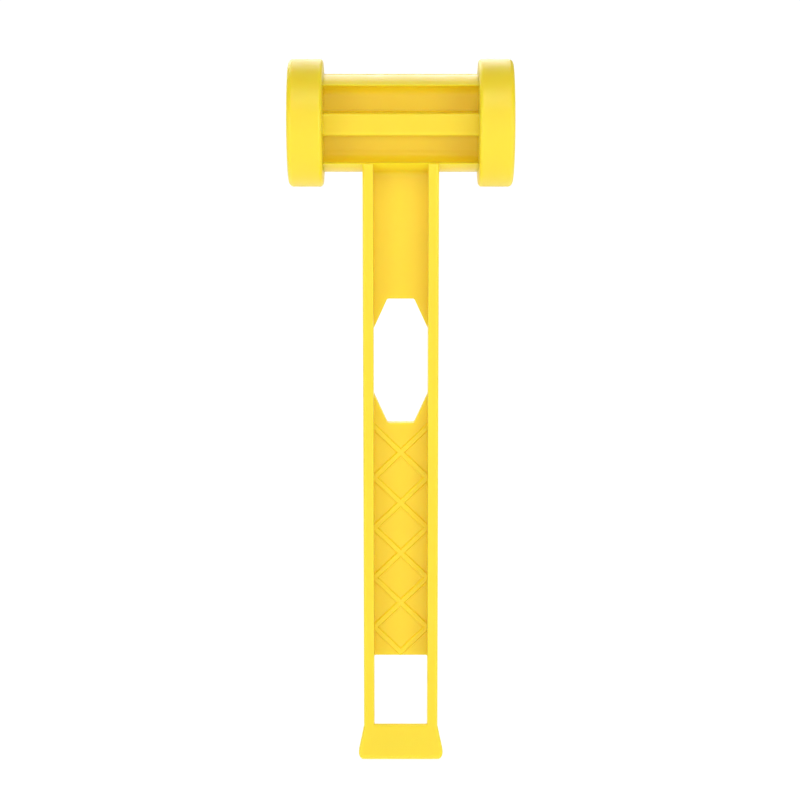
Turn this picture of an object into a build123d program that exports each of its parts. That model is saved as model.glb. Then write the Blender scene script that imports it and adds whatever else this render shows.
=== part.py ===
from build123d import *

import os
from math import atan2, cos, degrees, hypot, radians, sin, sqrt, tan

# A one-hand moulded plastic mallet: a ribbed handle and head in one moulding, with two snap-on striking caps.
# The mallet stands upright on its foot. The origin is the middle of the foot's flat underside, +Z runs up
# the handle, X runs along the head from striking face to striking face, and Y is the depth. -Y is the front.

# Overall sizes, mm
axis_height = 259.0  # from the foot's underside to the axis of the head
head_length = 88.2  # from one striking face to the other
cap_diameter = 50.0
core_length = 61.0  # the ribbed core that shows between the caps
core_diameter = 38.0

# Core of the head
wall_height = 4.1  # the top and bottom walls, at their thickest
rib_height = 8.8  # the rib along the middle of the core
web_thickness = 4.0  # shared by the core and the handle
core_root_radius = 4.5  # where the walls meet the web
rib_root_radius = 1.0
lip_radius = 1.2  # outer edges of the rib and of the walls

# Handle
handle_width = 30.0
pocket_width = 21.6  # between the flanges, at the web
pocket_draft = 0.6  # degrees
flange_edge_radius = 1.1
underhead_radius = 4.0

# Long eight-sided finger opening
opening_top = 189.5
opening_height = 50.5
opening_flat = 10.7  # width of its top and bottom edges
opening_slope = 11.9  # height of each sloping corner
opening_radius = 1.0

# Raised diamond lattice
lattice_top = 137.4
lattice_pitch = 20.86
lattice_count = 5
lattice_rib_width = 2.6  # at the root
lattice_rib_height = 0.6
lattice_draft = 40.0  # degrees

# Window near the foot
window_top = 42.1
window_radius = 0.6

# Foot: a bar that closes the window, flush with the flanges in front, flared at the sides, raked to the back
foot_height = 16.0  # at the front
foot_rake = 20.0  # degrees, how steeply the top and the flare fall to the back
foot_flare = 2.15  # on each side
flare_start = 15.4
flare_end = 5.0
flare_root_radius = 4.0
flare_knee_radius = 12.0
foot_corner_radius = 3.6
foot_ridge_radius = 1.2
foot_heel_radius = 2.5  # front and back edges of the underside

# Spigots and caps
end_plate = 2.5
spigot_diameter = 36.4
spigot_length = 8.1  # past the end of the core
spigot_wall = 2.6
spigot_rib = 2.0
spigot_lead = 0.8
bead_height = 0.5
bead_length = 2.4
bead_place = 5.6  # middle of the bead, past the end of the core
fit_clearance = 0.1  # on the radius
end_clearance = 0.3
cap_outer_radius = 2.0
cap_inner_radius = 1.4

# Derived sizes
core_radius = core_diameter / 2
core_end = core_length / 2
spigot_radius = spigot_diameter / 2
spigot_end = core_end + spigot_length
bead_start = core_end + bead_place - bead_length / 2
lip_height = core_radius - wall_height
half_web = web_thickness / 2
half_depth = sqrt(core_radius**2 - lip_height**2)  # the flanges are flush with the core's lips
handle_top = axis_height - lip_height

head_axis = Axis((0, 0, axis_height), (1, 0, 0))
web_planes = [
    Plane((0, -half_web, 0), x_dir=(1, 0, 0), z_dir=(0, -1, 0)),
    Plane((0, half_web, 0), x_dir=(-1, 0, 0), z_dir=(0, 1, 0)),
]


def core_plane(x):
    """A plane across the head's axis, facing +X, at the given distance from the handle's middle."""
    return Plane((x, 0, axis_height), x_dir=(0, 1, 0), z_dir=(1, 0, 0))


# ---------------------------------------------------------------- handle, foot and head core, one moulding
with BuildPart() as foot:
    # Its outline from the front, carried to the back along the rake.
    foot_half = handle_width / 2 + foot_flare
    with BuildSketch(Plane.XZ.offset(half_depth)):
        with BuildLine():
            FilletPolyline(
                (0, 0),
                (foot_half, 0),
                (foot_half, flare_end),
                (handle_width / 2, flare_start),
                (handle_width / 2, 2 * foot_height),
                radius=[foot_corner_radius, flare_knee_radius, flare_root_radius],
            )
            Line((handle_width / 2, 2 * foot_height), (0, 2 * foot_height))
            mirror(about=Plane.YZ)
        make_face()
    rake = radians(foot_rake)
    extrude(amount=2 * half_depth / cos(rake), dir=(0, cos(rake), -sin(rake)))
    # Its outline from the side: a sloping top and a flat underside.
    with BuildSketch(Plane.YZ):
        with BuildLine():
            FilletPolyline(
                (-half_depth, 0),
                (-half_depth, foot_height),
                (half_depth, foot_height - 2 * half_depth * tan(rake)),
                (half_depth, 0),
                radius=[foot_heel_radius, foot_ridge_radius, foot_ridge_radius, foot_heel_radius],
                close=True,
            )
        make_face()
    extrude(amount=handle_width, both=True, mode=Mode.INTERSECT)
    upright_edges = [
        edge
        for edge in foot.edges()
        if abs(edge.center().Y) > half_depth - 0.01 and abs(edge.center().X) > pocket_width / 2
    ]
    fillet(upright_edges, flange_edge_radius)

with BuildPart() as mallet_body:
    # Handle: a plain block, hollowed on the front and on the back to leave two flanges and a web.
    with BuildSketch(Plane.XY.offset(foot_heel_radius)):
        RectangleRounded(handle_width, 2 * half_depth, flange_edge_radius)
    extrude(amount=handle_top - foot_heel_radius)
    with BuildSketch(*web_planes):
        with Locations((0, handle_top / 2)):
            Rectangle(pocket_width, 2 * handle_top)
    extrude(amount=core_radius, taper=-pocket_draft, mode=Mode.SUBTRACT)

    # Lattice of crossing ribs on both faces of the web. The lowest crossing has only its upper legs.
    leg_angle = degrees(atan2(lattice_pitch, pocket_width))
    leg_length = hypot(lattice_pitch, pocket_width) / 2
    upper_legs = (leg_angle, 180 - leg_angle)
    lower_legs = (-leg_angle, 180 + leg_angle)
    with BuildSketch(*web_planes):
        for row in range(lattice_count):
            crossing = lattice_top - (row + 0.5) * lattice_pitch
            for turn in upper_legs if row == lattice_count - 1 else upper_legs + lower_legs:
                with Locations(Location((0, crossing), turn)):
                    with Locations((leg_length / 2, 0)):
                        Rectangle(leg_length + lattice_rib_width, lattice_rib_width)
    extrude(amount=lattice_rib_height, taper=lattice_draft)

    # Core of the head, joined to the top of the handle.
    with BuildSketch(core_plane(-core_end)):
        Circle(core_radius)
    extrude(amount=core_length)
    under_head = [
        edge
        for edge in mallet_body.edges().filter_by(Axis.X)
        if abs(abs(edge.center().Y) - half_web) < 0.1 and handle_top - 5 < edge.center().Z < handle_top
    ]
    fillet(under_head, underhead_radius)

    # Pockets of the core: above and below the middle rib, front and back, and the flat faces they open on.
    draft_rise = (half_depth - half_web) * tan(radians(pocket_draft))
    with BuildSketch(core_plane(-core_end)):
        with BuildLine():
            Polyline(
                (half_web, rib_height / 2 + draft_rise),
                (half_depth, rib_height / 2),
                (half_depth, lip_height),
                (half_web, lip_height - draft_rise),
                close=True,
            )
        make_face()
        for place, radius in ((0, rib_root_radius), (-1, core_root_radius)):
            roots = vertices().group_by(Axis.X)[0].sort_by(Axis.Y)
            fillet(roots[place], radius)
        mirror(about=Plane.YZ)
        mirror(about=Plane.XZ)
        for side in (-1, 1):
            with Locations((side * (half_depth + core_radius / 2), 0)):
                Rectangle(core_radius, 2 * core_radius)
        mouths = [v for v in vertices() if abs(abs(v.X) - half_depth) < 0.1 and abs(v.Y) < core_radius - 1]
        fillet(mouths, lip_radius)
    extrude(amount=core_length, mode=Mode.SUBTRACT)

    # Finger opening and window, cut through the web.
    with BuildSketch(Plane.XZ):
        slope_height = opening_height / 2 - opening_slope
        with Locations((0, opening_top - opening_height / 2)):
            Polygon(
                (opening_flat / 2, opening_height / 2),
                (pocket_width / 2, slope_height),
                (pocket_width / 2, -slope_height),
                (opening_flat / 2, -opening_height / 2),
                (-opening_flat / 2, -opening_height / 2),
                (-pocket_width / 2, -slope_height),
                (-pocket_width / 2, slope_height),
                (-opening_flat / 2, opening_height / 2),
            )
        fillet(vertices(), opening_radius)
    extrude(amount=half_web + lattice_rib_height, both=True, mode=Mode.SUBTRACT)
    with BuildSketch(Plane.XZ):
        with Locations((0, window_top / 2)):
            RectangleRounded(pocket_width, window_top, window_radius)
    extrude(amount=half_web + lattice_rib_height, both=True, mode=Mode.SUBTRACT)
    add(foot.part)

    # End plates and hollow spigots, with a snap bead round each.
    for side in (-1, 1):
        with BuildSketch(Plane.XZ):
            with BuildLine():
                Polyline(
                    (side * core_end, axis_height),
                    (side * core_end, axis_height + spigot_radius),
                    (side * bead_start, axis_height + spigot_radius),
                    (side * (bead_start + bead_length / 2), axis_height + spigot_radius + bead_height),
                    (side * (bead_start + bead_length), axis_height + spigot_radius),
                    (side * (spigot_end - spigot_lead), axis_height + spigot_radius),
                    (side * spigot_end, axis_height + spigot_radius - spigot_lead),
                    (side * spigot_end, axis_height + spigot_radius - spigot_wall),
                    (side * (core_end + end_plate), axis_height + spigot_radius - spigot_wall),
                    (side * (core_end + end_plate), axis_height),
                    close=True,
                )
            make_face()
        revolve(axis=head_axis)
        with BuildSketch(core_plane(side * (core_end + end_plate))):
            for turn in (0, 90):
                with Locations(Location((0, 0), turn)):
                    Rectangle(spigot_diameter - spigot_wall, spigot_rib)
        extrude(amount=side * (spigot_length - end_plate - spigot_lead))
mallet_body.part.label = "mallet_body"

# ---------------------------------------------------------------- striking caps
socket_radius = spigot_radius + fit_clearance
socket_length = spigot_length + end_clearance
cap_end = head_length / 2
cap_radius = cap_diameter / 2
caps = {}
for side, name in ((-1, "left_striking_cap"), (1, "right_striking_cap")):
    with BuildPart() as striking_cap:
        with BuildSketch(Plane.XZ):
            with BuildLine():
                Polyline(
                    (side * core_end, axis_height + socket_radius + spigot_lead / 2),
                    (side * core_end, axis_height + cap_radius),
                    (side * cap_end, axis_height + cap_radius),
                    (side * cap_end, axis_height),
                    (side * (core_end + socket_length), axis_height),
                    (side * (core_end + socket_length), axis_height + socket_radius),
                    (side * (bead_start + bead_length + fit_clearance), axis_height + socket_radius),
                    (side * (core_end + bead_place), axis_height + socket_radius + bead_height),
                    (side * (bead_start - fit_clearance), axis_height + socket_radius),
                    (side * (core_end + spigot_lead / 2), axis_height + socket_radius),
                    close=True,
                )
            make_face()
            for place, radius in ((core_end, cap_inner_radius), (cap_end, cap_outer_radius)):
                rim = vertices().group_by(Axis.Y)[-1]
                fillet(rim.sort_by(lambda corner: abs(abs(corner.X) - place))[0], radius)
        revolve(axis=head_axis)
    striking_cap.part.label = name
    caps[name] = striking_cap.part

os.makedirs("parts", exist_ok=True)
export_step(mallet_body.part, "parts/mallet_body.step")
for name, striking_cap in caps.items():
    export_step(striking_cap, f"parts/{name}.step")
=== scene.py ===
import math

import bpy
from bpy.props import FloatProperty, PointerProperty, StringProperty
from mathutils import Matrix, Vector


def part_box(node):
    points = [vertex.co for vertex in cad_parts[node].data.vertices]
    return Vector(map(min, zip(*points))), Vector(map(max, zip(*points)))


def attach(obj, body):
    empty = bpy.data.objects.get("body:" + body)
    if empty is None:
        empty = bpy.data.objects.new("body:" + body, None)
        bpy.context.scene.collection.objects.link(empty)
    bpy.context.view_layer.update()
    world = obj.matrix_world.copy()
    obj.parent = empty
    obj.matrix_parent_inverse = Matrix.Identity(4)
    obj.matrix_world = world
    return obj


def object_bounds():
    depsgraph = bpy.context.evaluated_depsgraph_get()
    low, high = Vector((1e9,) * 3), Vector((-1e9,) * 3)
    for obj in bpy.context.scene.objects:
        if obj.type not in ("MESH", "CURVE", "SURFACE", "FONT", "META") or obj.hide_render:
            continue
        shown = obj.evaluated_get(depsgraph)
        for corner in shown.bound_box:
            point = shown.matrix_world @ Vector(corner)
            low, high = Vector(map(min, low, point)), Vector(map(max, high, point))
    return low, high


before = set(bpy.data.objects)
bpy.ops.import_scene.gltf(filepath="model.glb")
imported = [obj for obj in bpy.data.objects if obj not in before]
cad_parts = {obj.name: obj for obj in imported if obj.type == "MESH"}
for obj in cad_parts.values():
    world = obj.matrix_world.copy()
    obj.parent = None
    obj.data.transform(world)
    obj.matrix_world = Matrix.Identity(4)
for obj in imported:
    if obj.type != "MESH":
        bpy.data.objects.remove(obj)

bl_info = {
    "name": "Moulded Mallet",
    "version": (1, 0, 0),
    "blender": (4, 5, 0),
    "location": "View3D > Sidebar > Mallet",
    "description": "Finishes a moulded plastic mallet and sets it in a plain studio",
    "category": "Object",
}

MM = 0.001
CAD_LOW, CAD_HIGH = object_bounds()
BODY = "mallet_body"
CAPS = ("left_striking_cap", "right_striking_cap")
CAP_LOW, CAP_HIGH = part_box("right_striking_cap")
AXIS_HEIGHT = (CAP_LOW.z + CAP_HIGH.z) / 2

FLOOR_SIDES = 96
SENSOR_WIDTH = 36.0  # mm
SOFTBOXES = (  # name, place in m, width in m, power in W
    ("right_softbox", (0.95, -1.35, 0.4), 0.7, 4.5),
    ("left_softbox", (-0.95, -1.35, 0.4), 0.7, 3.95),
    ("high_softbox", (0.1, -1.1, 1.4), 0.8, 7.7),
    ("rim_softbox", (-0.2, 0.9, 0.9), 1.0, 9.5),
)


# ---------------------------------------------------------------- small helpers


def linear(hex_colour):
    """An sRGB hex colour, such as "#ffcc00", as linear RGBA."""
    channels = [int(hex_colour[i : i + 2], 16) / 255 for i in (1, 3, 5)]
    return [c / 12.92 if c <= 0.04045 else ((c + 0.055) / 1.055) ** 2.4 for c in channels] + [1.0]


def add_node(tree, kind, settings=None, **inputs):
    """Adds a node. Settings are its own properties. Inputs are values, or (node, output) pairs to link.

    An input is named as its socket is, with _ for a space, or _6 for the socket of that number.
    """
    node = tree.nodes.new(kind)
    for name, value in (settings or {}).items():
        setattr(node, name, value)
    for name, value in inputs.items():
        socket = node.inputs[int(name[1:])] if name[0] == "_" else node.inputs[name.replace("_", " ")]
        if isinstance(value, tuple) and isinstance(value[0], bpy.types.Node):
            tree.links.new(value[0].outputs[value[1]], socket)
        else:
            socket.default_value = value
    return node


def raised_line(middle, size, outward, taper):
    """Models a low ridge, half sunk in its wall: a bar whose outer face is drawn in and rounded."""
    edge_radius = 0.06 * MM
    bpy.ops.object.select_all(action="DESELECT")
    bpy.ops.mesh.primitive_cube_add(size=1, location=middle, scale=size)
    bpy.ops.object.transform_apply(location=True, rotation=False, scale=True)
    ridge = bpy.context.object
    for face in ridge.data.polygons:
        face.select = face.normal.dot(outward) > 0.9
    bpy.ops.object.mode_set(mode="EDIT")
    bpy.ops.mesh.select_mode(type="FACE")
    crest = Vector(middle) + 0.5 * Vector(outward) * Vector(size).dot([abs(v) for v in outward])
    bpy.ops.transform.resize(value=taper, center_override=crest)
    bpy.ops.object.mode_set(mode="OBJECT")
    bpy.ops.object.modifier_add(type="BEVEL")
    ridge.modifiers[0].width = edge_radius
    ridge.modifiers[0].segments = 2
    bpy.ops.object.modifier_apply(modifier=ridge.modifiers[0].name)
    return ridge


# ---------------------------------------------------------------- materials


def moulded_plastic(name, pigment, pale, grain_mm, roughness):
    """Injection-moulded polyolefin: satin and slightly waxy, with a fine grain and faint flow marks."""
    flow_size = 26 * MM
    smear_size = 7 * MM
    sink_size = 14 * MM
    glossier, duller = 0.04, 0.05  # how far the smears change the roughness
    depth_of_light = 4.0 * MM

    material = bpy.data.materials.new(name)
    material.use_nodes = True
    tree = material.node_tree
    tree.nodes.clear()
    where = (add_node(tree, "ShaderNodeTexCoord"), "Object")

    # Melt that ran at different speeds leaves broad, very faint changes of tone.
    flow = add_node(
        tree, "ShaderNodeTexNoise", Vector=where, Scale=1 / flow_size, Detail=2.0, Roughness=0.4
    )
    tone = add_node(
        tree,
        "ShaderNodeMix",
        {"data_type": "RGBA"},
        Factor=(flow, "Fac"),
        _6=linear(pigment),
        _7=linear(pale),
    )

    # Spark-eroded mould skin: pits a fraction of a millimetre across, drawn at the smallest size that shows.
    grain = add_node(tree, "ShaderNodeTexNoise", Vector=where, Scale=1 / (grain_mm * MM), Detail=3.0)
    skin = add_node(tree, "ShaderNodeBump", Strength=0.18, Distance=0.04 * MM, Height=(grain, "Fac"))

    # Handling polishes that skin a little more in some places than in others.
    smear = add_node(tree, "ShaderNodeTexNoise", Vector=where, Scale=1 / smear_size, Detail=3.0)
    polish = add_node(
        tree,
        "ShaderNodeMapRange",
        Value=(smear, "Fac"),
        From_Min=0.3,
        From_Max=0.7,
        To_Min=roughness - glossier,
        To_Max=roughness + duller,
    )

    # Thick sections sink a little as they cool, so broad faces aren't quite flat.
    sink = add_node(tree, "ShaderNodeTexNoise", Vector=where, Scale=1 / sink_size, Detail=1.0)
    normal = add_node(
        tree,
        "ShaderNodeBump",
        Strength=0.25,
        Distance=0.12 * MM,
        Height=(sink, "Fac"),
        Normal=(skin, "Normal"),
    )

    # Light soaks a few millimetres into the plastic, which softens edges and warms the corners.
    shader = add_node(
        tree,
        "ShaderNodeBsdfPrincipled",
        Base_Color=(tone, 2),
        Roughness=(polish, 0),
        IOR=1.49,
        Normal=(normal, "Normal"),
        Subsurface_Weight=0.8,
        Subsurface_Radius=(1.0, 0.8, 0.25),
        Subsurface_Scale=depth_of_light,
    )
    add_node(tree, "ShaderNodeOutputMaterial", Surface=(shader, 0))
    return material


# ---------------------------------------------------------------- settings


class MalletPlastic(bpy.types.PropertyGroup):
    pigment: StringProperty(
        name="Pigment", description="sRGB hex colour of the plastic", default="#efd625"
    )
    pale: StringProperty(
        name="Pale tone", description="sRGB hex colour of its palest flow marks", default="#f1da30"
    )
    grain: FloatProperty(name="Grain", description="Size of the mould grain in mm", default=0.45, min=0.1)
    roughness: FloatProperty(
        name="Roughness", description="Of the body's satin skin", default=0.36, min=0, max=1
    )
    cap_roughness: FloatProperty(
        name="Cap roughness", description="Of the caps' duller skin", default=0.41, min=0, max=1
    )


class MalletSeam(bpy.types.PropertyGroup):
    width: FloatProperty(name="Seam width", description="Across the seam", default=0.7 * MM, unit="LENGTH")
    height: FloatProperty(
        name="Seam height", description="Above the wall", default=0.18 * MM, unit="LENGTH"
    )
    handle_width: FloatProperty(
        name="Handle width", description="Across both flanges", default=30 * MM, unit="LENGTH"
    )
    foot_end: FloatProperty(
        name="Seam foot end", description="Height at which it starts", default=12 * MM, unit="LENGTH"
    )
    core_radius: FloatProperty(
        name="Core radius", description="Of the head's core", default=19 * MM, unit="LENGTH"
    )


class MalletStudio(bpy.types.PropertyGroup):
    camera_distance: FloatProperty(
        name="Camera distance",
        description="From the camera to the plane of the mallet",
        default=0.882,
        unit="LENGTH",
    )
    camera_rise: FloatProperty(
        name="Camera rise",
        description="Height of the camera above the head's axis",
        default=0.0463,
        unit="LENGTH",
    )
    camera_tilt: FloatProperty(
        name="Camera tilt",
        description="How far the camera looks down",
        default=math.radians(10.11),
        subtype="ANGLE",
    )
    camera_side: FloatProperty(
        name="Camera side",
        description="How far the camera stands to the right",
        default=-0.0003,
        unit="LENGTH",
    )
    lens: FloatProperty(name="Lens", description="Focal length in mm on a 36 mm sensor", default=100.0)
    floor_size: FloatProperty(name="Floor", description="Width of the floor", default=12.0, unit="LENGTH")
    wall_height: FloatProperty(
        name="Wall", description="How far the floor's edge turns up", default=1.6, unit="LENGTH"
    )
    paper_glow: FloatProperty(name="Paper glow", description="Light that the paper gives off", default=0.95)
    tent_light: FloatProperty(name="Tent light", description="Light from all round", default=0.2)


# ---------------------------------------------------------------- operators


class MALLET_OT_plastic(bpy.types.Operator):
    """Gives the moulding and its caps their plastic"""

    bl_idname = "mallet.plastic"
    bl_label = "Plastic"

    def execute(self, context):
        wanted = context.scene.mallet_plastic
        colours = (wanted.pigment, wanted.pale, wanted.grain)
        body = moulded_plastic("satin_polypropylene", *colours, wanted.roughness)
        caps = moulded_plastic("satin_polyethylene", *colours, wanted.cap_roughness)
        for node, material in ((BODY, body), (CAPS[0], caps), (CAPS[1], caps)):
            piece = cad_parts[node]
            for slot in piece.material_slots:
                slot.material = material
        return {"FINISHED"}


class MALLET_OT_parting_seam(bpy.types.Operator):
    """Makes the fine line that the mould's halves leave on the handle's sides and the core's walls"""

    bl_idname = "mallet.parting_seam"
    bl_label = "Parting Seam"

    def execute(self, context):
        wanted = context.scene.mallet_seam
        core_top = AXIS_HEIGHT + wanted.core_radius
        core_bottom = AXIS_HEIGHT - wanted.core_radius
        core_end = CAP_LOW.x
        half_handle = wanted.handle_width / 2
        thick = 2 * wanted.height
        crest = 0.35  # of the seam's width
        tip = 0.995  # of its length
        smooth_angle = math.radians(40)

        rise = core_bottom - wanted.foot_end
        reach = core_end - half_handle
        size = (2 * core_end, wanted.width, thick)
        lines = [raised_line((0, 0, core_top), size, (0, 0, 1), (tip, crest, 1))]
        for side in (-1, 1):
            middle = (side * half_handle, 0, wanted.foot_end + rise / 2)
            size = (thick, wanted.width, rise)
            lines.append(raised_line(middle, size, (side, 0, 0), (1, crest, tip)))
            middle = (side * (half_handle + reach / 2), 0, core_bottom)
            size = (reach, wanted.width, thick)
            lines.append(raised_line(middle, size, (0, 0, -1), (tip, crest, 1)))
        bpy.ops.object.select_all(action="DESELECT")
        for line in lines:
            line.select_set(True)
        context.view_layer.objects.active = lines[0]
        bpy.ops.object.join()
        seam = context.object
        seam.name = seam.data.name = "parting_seam"
        bpy.ops.object.shade_smooth_by_angle(angle=smooth_angle)
        seam.data.materials.append(bpy.data.materials["satin_polypropylene"])
        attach(seam, "root")
        return {"FINISHED"}


class MALLET_OT_stage(bpy.types.Operator):
    """Makes the pale floor, the soft lights and the camera"""

    bl_idname = "mallet.stage"
    bl_label = "Stage"

    def execute(self, context):
        studio = context.scene.mallet_studio
        bpy.ops.object.select_all(action="DESELECT")
        # A round white floor whose edge turns up, so that no horizon shows.
        bpy.ops.mesh.primitive_circle_add(
            vertices=FLOOR_SIDES, radius=studio.floor_size / 2, fill_type="NGON"
        )
        floor = context.object
        floor.name = "floor"
        bpy.ops.object.mode_set(mode="EDIT")
        bpy.ops.mesh.select_mode(type="EDGE")
        bpy.ops.mesh.select_all(action="SELECT")
        bpy.ops.mesh.region_to_loop()
        bpy.ops.mesh.extrude_edges_move(TRANSFORM_OT_translate={"value": (0, 0, studio.wall_height)})
        bpy.ops.object.mode_set(mode="OBJECT")

        # Matt paper lit through from below, as on a light table: it stays white and shows hardly any shadow.
        paper = bpy.data.materials.new("white_paper")
        paper.use_nodes = True
        shader = paper.node_tree.nodes["Principled BSDF"]
        shader.inputs["Base Color"].default_value = linear("#595959")
        shader.inputs["Roughness"].default_value = 0.9
        shader.inputs["Emission Color"].default_value = linear("#ffffff")
        shader.inputs["Emission Strength"].default_value = studio.paper_glow
        floor.data.materials.append(paper)

        world = bpy.data.worlds.new("white_tent")
        world.use_nodes = True
        background = world.node_tree.nodes["Background"]
        background.inputs["Color"].default_value = linear("#ffffff")
        background.inputs["Strength"].default_value = studio.tent_light
        context.scene.world = world

        middle = Vector((0, 0, (CAD_LOW.z + CAD_HIGH.z) / 2))
        for name, place, size, power in SOFTBOXES:
            bpy.ops.object.light_add(type="AREA", location=place)
            lamp = context.object
            lamp.name = name
            lamp.data.size = size
            lamp.data.energy = power
            lamp.rotation_euler = (middle - Vector(place)).to_track_quat("-Z", "Y").to_euler()

        eye = (studio.camera_side, -studio.camera_distance, AXIS_HEIGHT + studio.camera_rise)
        bpy.ops.object.camera_add(location=eye)
        camera = context.object
        camera.data.sensor_width = SENSOR_WIDTH
        camera.data.lens = studio.lens
        camera.rotation_euler = (math.radians(90) - studio.camera_tilt, 0, 0)
        context.scene.camera = camera
        context.scene.view_settings.view_transform = "Standard"
        return {"FINISHED"}


class MALLET_PT_panel(bpy.types.Panel):
    """The mallet's settings and its pieces, in the order in which they are made"""

    bl_label = "Mallet"
    bl_space_type = "VIEW_3D"
    bl_region_type = "UI"
    bl_category = "Mallet"

    def draw(self, context):
        for group in (getattr(context.scene, name) for name in GROUPS):
            for name in group.__annotations__:
                self.layout.prop(group, name)
        for operator in OPERATORS:
            self.layout.operator(operator.bl_idname)


GROUPS = {"mallet_plastic": MalletPlastic, "mallet_seam": MalletSeam, "mallet_studio": MalletStudio}
OPERATORS = (MALLET_OT_plastic, MALLET_OT_parting_seam, MALLET_OT_stage)


def register():
    for name, group in GROUPS.items():
        bpy.utils.register_class(group)
        setattr(bpy.types.Scene, name, PointerProperty(type=group))
    for item in (*OPERATORS, MALLET_PT_panel):
        bpy.utils.register_class(item)


def unregister():
    for item in (MALLET_PT_panel, *reversed(OPERATORS)):
        bpy.utils.unregister_class(item)
    for name, group in reversed(GROUPS.items()):
        delattr(bpy.types.Scene, name)
        bpy.utils.unregister_class(group)


def main():
    register()
    bpy.ops.mallet.plastic()
    bpy.ops.mallet.parting_seam()
    bpy.ops.mallet.stage()


if __name__ == "__main__":
    main()
